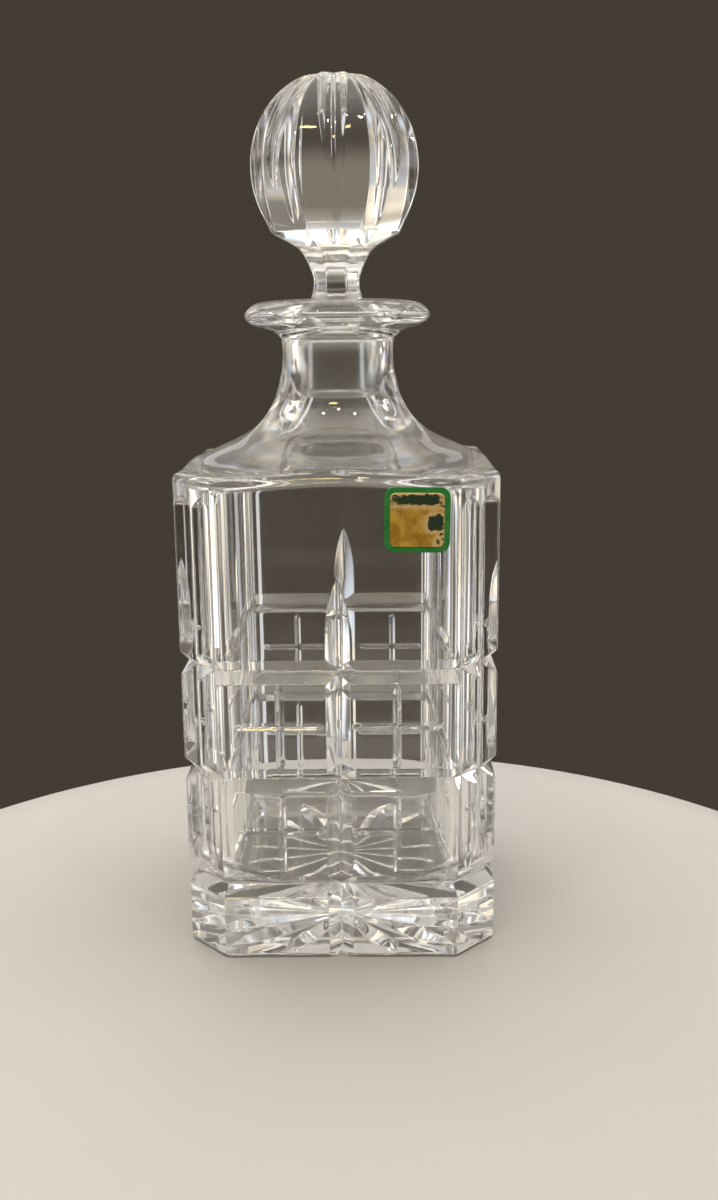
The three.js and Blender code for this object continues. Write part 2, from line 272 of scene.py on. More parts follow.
def face_half(z):
    """Grid of x and depth over half a face, from its middle to the corner, for a column of heights."""
    inset = groove_depth(z)
    mitre = beside(edge_of(mitre_depth(z), inset, MITRE_SLOPE), MITRE_SLOPE, MITRE_SHARES, True)
    bar = beside(edge_of(upright_bar_depth(z), inset, PANE_SLOPE), PANE_SLOPE, BAR_SHARES)

    def fixed(xs):
        return np.repeat([xs], len(z), axis=0)

    x = np.hstack([
        0 * z, mitre, fixed(FACE_BEFORE_BAR), PANE_MIDDLE - bar[:, ::-1], fixed([PANE_MIDDLE]),
        PANE_MIDDLE + bar, fixed(FACE_AFTER_BAR), fixed([FACE_END - CORNER_TANGENT]),
    ])
    depth = smooth_max(inset, v_cut(mitre_depth(z), MITRE_SLOPE, x))
    depth = smooth_max(depth, v_cut(upright_bar_depth(z), PANE_SLOPE, x - PANE_MIDDLE))
    for _, _, bar_z in PANE_BANDS:
        depth = smooth_max(depth, v_cut(run_out(x, PANE_INNER, PANE_OUTER), PANE_SLOPE, z - bar_z))
    x = x - CORNER_SHRINK * inset * ramp(x, FACE_FIXED_TO, FACE_END - CORNER_TANGENT)
    return x, depth


def chamfer(z):
    """Grid of distance from the chamfer's middle and depth, across the whole chamfer."""
    inset = groove_depth(z)
    side = beside(edge_of(flute_depth(z), inset, FLUTE_SLOPE), FLUTE_SLOPE, FLUTE_SHARES)
    centre = CHAMFER_END / 2
    end = CHAMFER_END - CORNER_SHRINK * inset
    half = np.hstack([centre - side[:, ::-1], 0 * z + centre, centre + side, end - CORNER_TANGENT])
    s = np.hstack([-half[:, ::-1], 0 * z, half])
    depth = smooth_max(inset, v_cut(flute_depth(z), FLUTE_SLOPE, np.abs(s) - centre))
    return s, depth, end


def over_corner(points):
    """The same points mirrored to the other side of the corner at +X -Y."""
    return -points[:, ::-1, ::-1]


def wall(heights):
    """Rings of the outer wall, counter-clockwise from the middle of the front face."""
    z = np.array(heights, float)[:, None]
    x, depth = face_half(z)
    front = np.stack([x, depth - HALF_WIDTH], axis=-1)
    s, cut, end = chamfer(z)
    out, along = np.array([1, -1]) / math.sqrt(2), np.array([1, 1]) / math.sqrt(2)
    corner = (CHAMFER_AT - cut)[..., None] * out + s[..., None] * along
    sharp = (CHAMFER_AT - groove_depth(z))[..., None] * out - end[..., None] * along
    softened = (front[:, -1:] + corner[:, :1] + 2 * sharp) / 4
    side = [over_corner(softened), over_corner(front[:, 1:])]
    quarter = np.concatenate([front, softened, corner, *side], axis=1)
    turns = [np.array([[math.cos(a), math.sin(a)], [-math.sin(a), math.cos(a)]]) for a in QUARTERS]
    flat = np.concatenate([quarter @ turn for turn in turns], axis=1)
    return [np.column_stack([points, np.full(len(points), h)]) for points, h in zip(flat, z[:, 0])]


def wall_heights():
    """Rows that follow each cut: close together at its edges and ends, far apart between them."""
    rows = [0.12, 0.5, 0.84, 1, 1.16, 1.6, 7, 12]
    for at in GROOVE_HEIGHTS:
        half = GROOVE_DEPTH / GROOVE_SLOPE
        off = np.array([0.1, 0.3, 1.2, 2.2, 3.0, half - 0.17, half, half + 0.17, half + 0.6])
        rows += [at, *(at + off), *(at - off)]
    for low, high, bar in PANE_BANDS:
        off = np.array([0.15, 0.5, 0.9, 1.13, 1.34])
        rows += [bar, *(bar + off), *(bar - off)]
        rows += [low + 1, low + PANE_RUN_OUT, high - PANE_RUN_OUT, high - 1]
    rows += [29.2, 30.6, 32, 33.5, 35.2, 36.8, 43.5, 47, 63, 67, 75.5, 79.5]
    below_tip = [21, 18.5, 16, 13.5, 11, 9, 7.3, 5.8, 4.4, 3.2, 2.2, 1.4, 0.8, 0.35, 0, -0.4, -1.2]
    rows += list(MITRE_TIP - np.array(below_tip))
    rows += [119, 124, 128, 131]
    stop_shares = [1, 0.75, 0.55, 0.4, 0.28, 0.18, 0.1, 0.04, 0, -0.12]
    rows += list(FLUTE_HIGH - FLUTE_STOP * np.array(stop_shares))
    rows = np.unique(np.round(rows, 3))
    return rows[np.concatenate([[True], np.diff(rows) > 0.06])]


# ---- Decanter: shoulder, neck and lip ----

SHOULDER = spline(
    [[70, 142.6], [57.4, 143.1], [46, 143.5], [36.5, 147.3], [26.1, 152.6], [20, 160], [17.3, 168.5],
     [16.6, 175], [16.9, 179.2]], 160)
LIP = spline(
    [[16.9, 179.2], [19.4, 181.3], [26, 183.4], [27.7, 186.3], [24.9, 189.2], [20, 190.2],
     [14.2, LIP_TOP]], 30)
MOUTH = np.array(
    [[13.8, LIP_TOP - 0.15], [13.35, LIP_TOP - 0.7], [12.65, 188.7], [BORE_TOP_RADIUS, BORE_TOP]])
TOP_BEND = 2.4  # reach of the rounding between the wall and the shoulder
WAIST_MARGIN = 8  # profile points short of the neck's waist, from which the rings are plainly round
COLUMNS = 448  # round the whole outline


def even_angles(count):
    """Angles in equal steps round the upright axis, from the middle of the front face."""
    return -math.pi / 2 + 2 * math.pi * np.arange(count) / count


def along_profile(profile, radius, share):
    """Radius and height a share of the way from a narrowing profile's point at a radius to its end."""
    reached = lengths(profile)
    start = np.interp(-radius, -profile[:, 0], reached)
    at = start + (reached[-1] - start) * share
    return np.interp(at, reached, profile[:, 0]), np.interp(at, reached, profile[:, 1])


def polar(points):
    """Radius and angle of each point round the upright axis."""
    return np.hypot(points[:, 0], points[:, 1]), np.unwrap(np.arctan2(points[:, 1], points[:, 0]))


def outer_rings():
    """Rings of the outside, from the heel up over the shoulder and the lip to the bore."""
    rings = wall(wall_heights())
    top = rings[-1]
    radius, angle = polar(top)
    angle += 2 * math.pi * round((even_angles(1)[0] - angle[0]) / (2 * math.pi))
    handover = np.argmin(SHOULDER[:, 0]) - WAIST_MARGIN
    shoulder = SHOULDER[:handover]
    crest = np.interp(-radius, -shoulder[:, 0], shoulder[:, 1])
    rings.append(ring(radius, angle, (crest - TOP_BEND + top[:, 2]) / 2))
    start = ring(radius, angle, crest - TOP_BEND)
    inner_radius = radius - TOP_BEND
    end = ring(inner_radius, angle, np.interp(-inner_radius, -shoulder[:, 0], shoulder[:, 1]))
    rings += [start, *bend(start, ring(radius, angle, crest), end, 6), end]
    even = even_angles(COLUMNS // 2)
    for share in np.linspace(0, 1, 26)[1:]:
        r, z = along_profile(shoulder, inner_radius[::2], share)
        turn = ramp(share, 0, 0.75)
        rings.append(ring(r, angle[::2] * (1 - turn) + even * turn, z))
    for r, z in [*SHOULDER[handover + 4::4], *LIP[1:], *MOUTH]:
        rings.append(ring(r, even, z))
    return rings


# ---- Decanter: hollow ----

INNER_SHOULDER = spline(
    [[BORE_FOOT_RADIUS, BORE_FOOT], [12.9, 157.4], [16.8, 152.6], [24, 147.6], [32, 143.8], [39, 141.3],
     [48.5, 139.4], [58, 138]], 90)
INNER_FLOOR = spline([[30, FLOOR + 0.2], [38, FLOOR + 0.9], [44, FLOOR + 2.4], [49, FLOOR + 5]], 40)
INNER_BEND = 2.2  # reach of the rounding under the shoulder
FLOOR_BEND = 3  # and of the one round the floor


def rounded_square(angle, half_width, corner_radius):
    """Middle to the edge of a square with round corners, at an angle."""
    straight = half_width - corner_radius
    s, c = np.sort(np.abs([np.cos(angle), np.sin(angle)]), axis=0)
    to_flat = half_width / c
    across = straight * (c + s)
    to_arc = across + np.sqrt(np.maximum(across**2 - 2 * straight**2 + corner_radius**2, 0))
    return np.where(to_flat * s < straight, to_flat, to_arc)


def inner_rings():
    """Rings of the inside, from the bore down the shoulder and the walls to the middle of the floor."""
    even = even_angles(COLUMNS // 2)
    rings = []
    for t in (0.25, 0.5, 0.75):
        bore_radius = BORE_TOP_RADIUS + (BORE_FOOT_RADIUS - BORE_TOP_RADIUS) * t
        rings.append(ring(bore_radius, even, BORE_TOP + (BORE_FOOT - BORE_TOP) * t))
    radius = rounded_square(even, INNER_HALF_WIDTH, INNER_CORNER_RADIUS)
    crest = np.interp(radius, INNER_SHOULDER[:, 0], INNER_SHOULDER[:, 1])
    turned_end = radius - INNER_BEND
    reached = lengths(INNER_SHOULDER)
    full = np.interp(turned_end, INNER_SHOULDER[:, 0], reached)
    for share in np.linspace(0, 1, 20):
        r = np.interp(full * share, reached, INNER_SHOULDER[:, 0])
        rings.append(ring(r, even, np.interp(full * share, reached, INNER_SHOULDER[:, 1])))
    below = ring(radius, even, crest - INNER_BEND)
    rings += [*bend(rings[-1], ring(radius, even, crest), below, 5), below]
    floor_z = np.interp(radius, INNER_FLOOR[:, 0], INNER_FLOOR[:, 1])
    foot = ring(radius, even, floor_z + FLOOR_BEND)
    rings += [below + (foot - below) * t for t in (0.25, 0.5, 0.75, 1)]
    floor_radius = radius - FLOOR_BEND
    floor = ring(floor_radius, even, np.interp(floor_radius, INNER_FLOOR[:, 0], INNER_FLOOR[:, 1]))
    rings += [*bend(foot, ring(radius, even, floor_z), floor, 5), floor]
    for share in (0.8, 0.6, 0.4, 0.2, 0.08):
        z = np.interp(floor_radius * share, INNER_FLOOR[:, 0], INNER_FLOOR[:, 1])
        rings.append(ring(floor_radius * share, even, z))
    return [*rings, np.array([0, 0, FLOOR + 0.2])]


# ---- Decanter: star under the base ----

STAR_SHARES = (0.05, 0.11, 0.18, 0.26, 0.34, 0.43, 0.52, 0.61, 0.69, 0.76, 0.82, 0.88, 0.93, 0.97, 1, 1.03)


def ray_reach(angle):
    """How far the star reaches at an angle, towards the faces and the corners."""
    to_face = RAY_REACH / np.maximum(np.abs(np.cos(angle)), np.abs(np.sin(angle)))
    return np.minimum(to_face, RAY_CORNER_REACH)


def ray_depth(share):
    """Depth of a ray a share of the way from the middle of the base to the ray's end."""
    depths = np.array([RAY_CENTRE_DEPTH / RAY_DEPTH, 0.55, 1, 0.7, 0, NO_CUT / RAY_DEPTH]) * RAY_DEPTH
    return np.interp(share, [0, 0.35, 0.7, 0.88, 1, 1.02], depths)


def star_depth(x, y):
    """Depth of the star's rays, each deepest in its outer half."""
    depth = np.full(np.shape(x), NO_CUT)
    for angle in even_angles(RAY_COUNT):
        along = x * math.cos(angle) + y * math.sin(angle)
        across = y * math.cos(angle) - x * math.sin(angle)
        cut = np.where(along > 0, ray_depth(along / ray_reach(angle)), NO_CUT)
        depth = smooth_max(depth, v_cut(cut, RAY_SLOPE, across))
    return smooth_max(depth, 0)


def star_rings():
    """Rings of the base from its middle outwards, with columns along each ray's valley and edges."""
    rings = [np.array([0, 0, RAY_CENTRE_DEPTH])]
    for share in STAR_SHARES:
        points = star_ring(share)
        points[:, 2] = np.maximum(star_depth(points[:, 0], points[:, 1]), 0)
        rings.append(points)
    return rings


def star_ring(share):
    """One flat ring of the star, a share of the way to the end of its rays."""
    half_count = COLUMNS // RAY_COUNT // 2
    halves = []
    for angle in even_angles(RAY_COUNT):
        turned = angle + math.pi / RAY_COUNT * np.arange(3)
        near, ridge, far = (ring(share * ray_reach(a), a, 0.0) for a in turned)
        halves.append(half_spoke(near, ridge, ray_depth(share), half_count)[:-1])
        halves.append(half_spoke(far, ridge, ray_depth(share), half_count)[:0:-1])
    return np.vstack(halves)


def half_spoke(valley, ridge, depth, count):
    """Points from a ray's valley to the ridge beside it, close together at the V's edge."""
    width = np.linalg.norm(ridge - valley)
    edge = min(max(depth / RAY_SLOPE, 0.5), 0.95 * width)
    half_round = min(EDGE / RAY_SLOPE, 0.4 * (width - edge))
    inner = edge - half_round
    in_cut = [0, 0.06 * inner, 0.28 * inner, 0.5 * inner, 0.75 * inner, inner, edge, edge + half_round]
    land = np.linspace(edge + half_round, width, count - len(in_cut) + 2)[1:]
    share = np.concatenate([in_cut, land]) / width
    return valley + (ridge - valley) * share[:, None]


def decanter_glass(materials):
    """The whole body: the base, the outside and the inside as one closed skin."""
    base_edge = wall([-EDGE])[0] * [1, 1, 0]
    rings = [*star_rings(), base_edge, *outer_rings(), *inner_rings()]
    return flat_facets(skin("decanter_glass", rings, materials))


# ---- Stopper ----

STEM = spline(
    [[9.4, STEM_FOOT], [7.8, 190.4], [6.7, 195.4], [7.8, 199.6], [10.3, 204.2], [13.5, 206.7],
     [18.7, 209.4]], 40)
PLUG_TAPER = (BORE_TOP_RADIUS - BORE_FOOT_RADIUS) / (TAPER_TOP - BORE_FOOT)
PLUG_GAP = 0.2  # between the ground plug and the bore
SIDE_TURN = math.pi / STOPPER_SIDES
HALF_COLUMNS = 14  # over half of one side
RIDGE_ROUND = 0.8  # half width of the softened ridges between the sides
PETAL_ROUND = 0.25
BALL_ANGLES = (  # from the pole, in degrees, close together at the petals' tips
    2, 5, 9, 13, 17, 21, 25, 29.5, 34, 39, 44, 49, 55, 61, 67, 73, 79, 84, 88, 91.5, 94.5, 97, 99,
    100.6, 101.9, 102.9, 103.7, 104.3, 104.7, 105, 105.4, 106.5, 110, 114, 118)
EDGE_EASE = 0.35  # reach of the rounding at each end of the facet under the ball


def side_columns(half, edge):
    """Distances from the middle of a side to its ridge, close together at a petal's edge."""
    edge = min(edge, 0.9 * half)
    soft = min(PETAL_ROUND, 0.3 * edge)
    ridge = max(half - RIDGE_ROUND, 0.7 * half + 0.3 * edge)
    cut = np.linspace(0, edge - soft, HALF_COLUMNS - 7)
    land = np.linspace(edge + soft, ridge, 4)
    return np.array([*cut, edge, *land, ridge + 0.4 * (half - ridge), ridge + 0.75 * (half - ridge), half])


def there_and_back(values):
    """Values from the middle of a side to its ridge, and from there to just before the next middle."""
    return np.concatenate([values, values[-2:0:-1]])


def eight_sides(radius, z, edge=3.0, cut=None, out=(1, 0), roundness=0.0):
    """A ring with eight sides at a radius to the flats, or a circle when roundness is 1.

    A cut's depth at each column is pushed in against the direction out.
    """
    half = radius * math.tan(SIDE_TURN)
    across = side_columns(half, edge)
    angle = np.arctan2(across, radius)
    soft = min(RIDGE_ROUND, 0.3 * half)
    ridge_cut = math.sin(SIDE_TURN) / (2 * soft) * np.maximum(soft - (half - across), 0) ** 2
    reach = radius / np.cos(angle) - ridge_cut
    reach += (radius - reach) * roundness
    depth = cut(across) if cut else 0 * across
    turn = np.concatenate([angle, 2 * SIDE_TURN - angle[-2:0:-1]])
    around = even_angles(STOPPER_SIDES)[:, None] + turn
    points = ring(there_and_back(reach - depth * out[0]), around, there_and_back(z - depth * out[1]))
    return points.reshape(-1, 3)


def petal_depth(from_pole):
    """Depth of a petal at an angle from the pole: shallow at the pole, and fading out to its tip."""
    off_pole = min(1, from_pole / PETAL_CROWN)
    to_tip = max(0, min(1, (PETAL_TIP - from_pole) / (PETAL_TIP - PETAL_FULL)))
    return PETAL_DEPTH * to_tip * (PETAL_CROWN_SHARE + (1 - PETAL_CROWN_SHARE) * off_pole)


def ball_ring(from_pole):
    """A ring of the ball at an angle from the pole, in degrees, with its eight petal cuts."""
    a = math.radians(from_pole)
    rise = BALL_RISE if from_pole < 90 else BALL_DROP
    out = np.array([rise * math.sin(a), BALL_RADIUS * math.cos(a)])
    depth = petal_depth(from_pole)
    half = max(PETAL_HALF * math.sqrt(depth / PETAL_DEPTH), 0.2)

    def petal(across):
        return smooth_max(depth * (1 - (across / half) ** 2), 0 * across)

    z = BALL_HEIGHT + rise * math.cos(a)
    return eight_sides(BALL_RADIUS * math.sin(a), z, half, petal, out / np.hypot(*out))


def stopper_profile():
    """Flat radius and height from the ball's foot down to the top of the plug."""
    fall = math.acos((BALL_FOOT - BALL_HEIGHT) / BALL_DROP)
    foot = np.array([BALL_RADIUS * math.sin(fall), BALL_FOOT])
    waist = STEM[-1]
    facet = (waist - foot) / np.linalg.norm(waist - foot)
    down = STEM[-2] - waist
    down /= np.linalg.norm(down)
    on_ball = foot + EDGE_EASE * np.array([0.45, 0.9])
    facet_top, facet_end = foot + EDGE_EASE * facet, waist - EDGE_EASE * facet
    on_stem = waist + EDGE_EASE * down
    first = [on_ball, *bend(on_ball, foot, facet_top, 1), facet_top]
    second = [facet_end, *bend(facet_end, waist, on_stem, 1), on_stem]
    return [*first, (foot + waist) / 2, *second, *STEM[-2:5:-1]]


def plug_radius(z):
    """Radius of the ground taper at a height, a small gap inside the bore."""
    return BORE_FOOT_RADIUS + PLUG_TAPER * (z - BORE_FOOT) - PLUG_GAP


def plug_rings():
    """Rings of the plug, from the eight-sided stem to the middle of its foot, and where it is ground."""
    crown = [(8.5, 189.5, 0.25), (9.1, 188.8, 0.6), (9.8, 188.2, 0.9), (10.7, 187.5, 1), (11.5, 187, 1)]
    crown.append((plug_radius(PLUG_TOP) - 0.1, PLUG_TOP + 0.1, 1))
    rings = [eight_sides(r, z, roundness=w) for r, z, w in crown]
    ground_from = len(rings)
    for z in (PLUG_TOP - 0.4, 181, 175, 169, PLUG_FOOT + 0.9):
        rings.append(eight_sides(plug_radius(z), z, roundness=1))
    ground_to = len(rings)
    foot = plug_radius(PLUG_FOOT)
    for inset, rise in ((0.1, 0.5), (0.35, 0.15), (0.8, 0), (4, 0), (8, 0)):
        rings.append(eight_sides(foot - inset, PLUG_FOOT + rise, roundness=1))
    return [*rings, np.array([0, 0, PLUG_FOOT])], ground_from, ground_to


def stopper_glass(clear, ground):
    """The whole stopper: the ball, the facet under it, the stem and the ground plug."""
    top = np.array([0, 0, BALL_HEIGHT + BALL_RISE - petal_depth(0)])
    below = [eight_sides(r, z) for r, z in stopper_profile()]
    plug, ground_from, ground_to = plug_rings()
    rings = [top, *(ball_ring(a) for a in BALL_ANGLES), *below, *plug][::-1]
    slots = [0] * len(rings)
    last = len(plug) - 1
    for i in range(last - ground_to, last - ground_from + 1):
        slots[i] = 1
    return flat_facets(skin("stopper_glass", rings, [clear, ground], slots))


# ---- Label ----

LABEL_TILT = 0.012
PRINT_SIZE, PRINT_CORNER, PRINT_THICKNESS, PRINT_RELIEF, PRINT_WAVE = 18, 2.8, 0.14, 0.02, 6
FOIL_SIZE, FOIL_CORNER, FOIL_THICKNESS, FOIL_RELIEF, FOIL_WAVE = 14.8, 1.4, 0.06, 0.025, 2.5
CRINKLES = ((1, 0.35, 0.4), (-0.45, 1.1, 1.9), (0.8, -0.9, 3.1), (1.7, 1.3, 5.2))  # across, up, phase
CRINKLE_PITCH = 2.4
SHEET_COLUMNS = 96


def crinkle(x, z, size):
    """Small uneven height of a sheet that was pressed on by hand, from -1 to 1."""
    waves = (np.sin((x * a + z * b) * CRINKLE_PITCH / size + c) for a, b, c in CRINKLES)
    return sum(waves) / len(CRINKLES)


def sheet(name, node, size, corner, thickness, relief, wave, material):
    """A thin pressed-on sheet that fills its CAD node's outline, against the side nearest the glass."""
    low, high = (np.array(corner_point) / MM for corner_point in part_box(node))
    middle = (low + high) / 2
    turn = 2 * math.pi * np.arange(SHEET_COLUMNS) / SHEET_COLUMNS
    edge = rounded_square(turn, size / 2, corner)
    shares = (0.12, 0.25, 0.38, 0.5, 0.6, 0.7, 0.78, 0.86, 0.93, 0.98)
    backs = [(share, 0.0) for share in (0.5, 0.99)]
    fronts = [(1, 0.35), (1, 0.8), *((share, 1.0) for share in shares[::-1])]
    rings = [np.array([middle[0], high[1], middle[2]])]
    for share, forward in (*backs, *fronts):
        x, z = edge * share * np.cos(turn), edge * share * np.sin(turn)
        lift = thickness * forward + relief * crinkle(x, z, wave) * (forward == 1)
        rings.append(np.column_stack([
            middle[0] + x * math.cos(LABEL_TILT) + z * math.sin(LABEL_TILT),
            high[1] - lift,
            middle[2] - x * math.sin(LABEL_TILT) + z * math.cos(LABEL_TILT),
        ]))
    rings.append(np.array([middle[0], high[1] - thickness, middle[2]]))
    return skin(name, rings, [material])


def label_print():
    """The printed backing, which lies on the glass."""
    return sheet("label_print", "label_backing", PRINT_SIZE, PRINT_CORNER, PRINT_THICKNESS,
                 PRINT_RELIEF, PRINT_WAVE, green_print())


def label_gold():
    """The gold foil on top of the printed backing."""
    return sheet("label_gold", "label_foil", FOIL_SIZE, FOIL_CORNER, FOIL_THICKNESS,
                 FOIL_RELIEF, FOIL_WAVE, worn_foil())


# ---- Materials ----

class Finish:
    """A procedural material: one Principled shader and the nodes that drive it."""

    def __init__(self, name, **values):
        self.material = bpy.data.materials.new(name)
        self.material.use_nodes = True
        self.tree = self.material.node_tree
        self.shader = self.tree.nodes["Principled BSDF"]
        for socket, value in values.items():
            self.shader.inputs[socket.replace("_", " ")].default_value = value
        self.place = self.add("ShaderNodeTexCoord").outputs["Object"]

    def add(self, kind, settings=(), **inputs):
        """A new node. Its inputs go by name, with _ for a space, or by number after a _."""
        node = self.tree.nodes.new(kind)
        for key, value in dict(settings).items():
            setattr(node, key, value)
        for key, value in inputs.items():
            socket = node.inputs[int(key[1:]) if key[0] == "_" else key.replace("_", " ")]
            self.feed(socket, value)
        return node

    def feed(self, socket, value):
        if isinstance(value, bpy.types.NodeSocket):
            self.tree.links.new(value, socket)
        else:
            socket.default_value = value

    def drive(self, socket, value):
        self.feed(self.shader.inputs[socket], value)

    def noise(self, scale, detail=3.0, roughness=0.5, distortion=0.0):
        node = self.add("ShaderNodeTexNoise", Vector=self.place, Scale=scale, Detail=detail,
                        Roughness=roughness, Distortion=distortion)
        return node.outputs["Fac"]

    def math(self, operation, a, b=0.0):
        return self.add("ShaderNodeMath", {"operation": operation}, _0=a, _1=b).outputs[0]

    def span(self, value, start, end, low=0.0, high=1.0):
        node = self.add("ShaderNodeMapRange", {"interpolation_type": "SMOOTHSTEP"}, Value=value,
                        From_Min=start, From_Max=end, To_Min=low, To_Max=high)
        return node.outputs[0]

    def mix(self, share, a, b):
        node = self.add("ShaderNodeMix", {"data_type": "RGBA"}, _0=share, _6=a, _7=b)
        return node.outputs[2]

    def bump(self, height, strength, distance):
        node = self.add("ShaderNodeBump", Strength=strength, Distance=distance, Height=height)
        self.drive("Normal", node.outputs[0])


def crystal():
    """Clear polished crystal: very slightly uneven, with a thin film of dust and handling."""
    glass = Finish("crystal", Base_Color=(0.985, 0.99, 0.985, 1), IOR=1.545, Transmission_Weight=0.965)
    handling = glass.noise(38.0, 4.0, 0.6)
    glass.drive("Roughness", glass.span(handling, 0.45, 0.75, 0.0, 0.018))
    glass.bump(glass.noise(70.0, 1.0, 0.3), 0.12, 0.0002)
    return glass.material


def ground_crystal():
    """The satin band where the plug was ground to fit the bore."""
    glass = Finish("ground_crystal", Base_Color=(0.97, 0.975, 0.97, 1), IOR=1.545, Transmission_Weight=0.95)
    grains = glass.noise(2600.0, 2.0, 0.6)
    glass.drive("Roughness", glass.span(grains, 0.3, 0.7, 0.1, 0.2))
    glass.bump(grains, 0.15, 0.00005)
    return glass.material


def green_print():
    """Printed paper: green, a little uneven, with fine pale specks where it is rubbed."""
    paper = Finish("green_print", Roughness=0.42)
    cloudy = paper.noise(260.0, 4.0, 0.6)
    green = paper.mix(paper.span(cloudy, 0.3, 0.7), (0.02, 0.19, 0.038, 1), (0.034, 0.27, 0.055, 1))
    specks = paper.span(paper.noise(1900.0, 2.0, 0.7), 0.68, 0.74)
    paper.drive("Base Color", paper.mix(specks, green, (0.14, 0.36, 0.16, 1)))
    paper.drive("Roughness", paper.span(cloudy, 0.3, 0.7, 0.34, 0.5))
    paper.bump(paper.noise(1500.0, 3.0, 0.6), 0.2, 0.00002)
    return paper.material


WORN_PATCHES = (  # across, up, half width and half height, in shares of the foil's half size
    (-0.02, 0.74, 0.88, 0.19),
    (0.68, -0.12, 0.32, 0.29),
    (0.85, 0.5, 0.1, 0.02),
    (0.76, -0.84, 0.04, 0.07),
    (0.9, -0.52, 0.05, 0.03),
    (0.92, -0.72, 0.03, 0.03),
)


def worn_foil():
    """Gold foil, mottled, and rubbed away to the dark print in a strip, a patch and a few specks."""
    foil = Finish("worn_foil")
    low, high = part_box("label_foil")
    middle, half = (low + high) / 2, (high.x - low.x) / 2
    split = foil.add("ShaderNodeSeparateXYZ", Vector=foil.place).outputs
    u = foil.math("DIVIDE", foil.math("SUBTRACT", split["X"], middle.x), half)
    v = foil.math("DIVIDE", foil.math("SUBTRACT", split["Z"], middle.z), half)
    ragged = foil.math("MULTIPLY", foil.math("SUBTRACT", foil.noise(620.0, 5.0, 0.72), 0.5), 0.42)
    inside = None
    for u_at, v_at, u_half, v_half in WORN_PATCHES:
        du = foil.math("DIVIDE", foil.math("SUBTRACT", u, u_at), u_half)
        dv = foil.math("DIVIDE", foil.math("SUBTRACT", v, v_at), v_half)
        corner = foil.math("ADD", foil.math("POWER", du, 4.0), foil.math("POWER", dv, 4.0))
        reach = foil.math("SUBTRACT", 1.0, foil.math("POWER", corner, 0.25))
        patch = foil.math("MULTIPLY", reach, min(u_half, v_half))
        inside = patch if inside is None else foil.math("MAXIMUM", inside, patch)
    edge = foil.math("ADD", inside, ragged)
    worn = foil.span(edge, -0.02, 0.03)
    frayed = foil.span(edge, -0.2, -0.04)
    blotches = foil.span(foil.noise(240.0, 3.0, 0.5, 0.4), 0.3, 0.7)
    gold = foil.mix(blotches, (0.53, 0.27, 0.032, 1), (0.84, 0.56, 0.1, 1))
    gold = foil.mix(frayed, gold, (0.92, 0.64, 0.28, 1))
    bare = foil.mix(foil.noise(700.0, 3.0, 0.6), (0.008, 0.022, 0.01, 1), (0.03, 0.06, 0.025, 1))
    foil.drive("Base Color", foil.mix(worn, gold, bare))
    foil.drive("Metallic", foil.math("SUBTRACT", 0.4, foil.math("MULTIPLY", worn, 0.4)))
    foil.drive("Roughness", foil.span(worn, 0.0, 1.0, 0.36, 0.5))
    foil.bump(foil.math("SUBTRACT", foil.noise(520.0, 4.0, 0.65, 0.5), worn), 0.5, 0.00006)
    return foil.material


# ---- Stage, light and camera ----

TABLE_MIDDLE = -60  # along Y; the round top reaches further in front of the decanter than behind it
TABLE_RADIUS = 190
TABLE_RIM = (  # inset from the edge, height
    (14, -8), (2, -7.4), (0, -5.4), (0, -2.7), (2, -0.7), (14, -0.1), (90, -0.1))
TABLE_COLUMNS = 128
LIGHT_AIM = (0, 0, 0.12)  # in metres, as the lamps' places are


def pale_floor():
    """A small round pale table top, a hair below the glass that stands on it."""
    finish = Finish("pale_floor", Roughness=0.6)
    cloudy = finish.noise(9.0, 3.0, 0.5)
    finish.drive("Base Color", finish.mix(cloudy, (0.31, 0.3, 0.287, 1), (0.345, 0.335, 0.322, 1)))
    turn = even_angles(TABLE_COLUMNS)
    middle = np.array([0, TABLE_MIDDLE, 0])
    rings = [middle + ring(TABLE_RADIUS - inset, turn, z) for inset, z in TABLE_RIM]
    ends = [middle + [0, 0, z] for z in (TABLE_RIM[0][1], TABLE_RIM[-1][1])]
    skin("floor", [ends[0], *rings, ends[1]], [finish.material])


def softbox(name, place, width, height, power, colour):
    """A rectangular lamp that looks at the middle of the decanter."""
    light = bpy.data.lights.new(name, "AREA")
    light.shape = "RECTANGLE"
    light.size, light.size_y = width, height
    light.energy, light.color = power, colour
    lamp = bpy.data.objects.new(name, light)
    bpy.context.scene.collection.objects.link(lamp)
    lamp.location = place
    lamp.rotation_euler = (Vector(LIGHT_AIM) - Vector(place)).to_track_quat("-Z", "Y").to_euler()
    lamp.visible_camera = False
    return lamp


LAMPS = (  # name, place, width and height in metres, watts, colour
    ("warm_line", (-0.13, -0.75, 0.9), 0.22, 0.05, 0.8, (1, 0.74, 0.3)),
    ("behind_left", (-0.285, 0.8, 0.05), 0.05, 1.3, 0.13, (0.93, 0.96, 1)),
    ("behind_right", (0.285, 0.8, 0.05), 0.05, 1.3, 0.11, (1, 0.95, 0.98)),
    ("lamp_left", (-0.3, -0.45, 1.0), 0.035, 0.035, 0.7, (1, 0.86, 0.62)),
    ("lamp_middle", (0.02, -0.6, 1.0), 0.035, 0.035, 0.7, (1, 0.86, 0.62)),
    ("lamp_right", (0.34, -0.4, 1.0), 0.035, 0.035, 0.7, (1, 0.86, 0.62)),
    ("cool_left", (-0.9, 0.1, 0.7), 0.05, 0.05, 0.5, (0.72, 0.84, 1)),
    ("violet_right", (0.9, 0.15, 0.65), 0.05, 0.05, 0.4, (0.9, 0.8, 1)),
)
FILLS = (  # the same values for the large soft lamps
    ("front_fill", (-0.3, -0.85, 0.75), 1.0, 0.7, 1.7, (1, 0.97, 0.93)),
    ("over_fill", (0, 0.15, 1.2), 1.2, 1.0, 15.0, (1, 0.97, 0.92)),
)


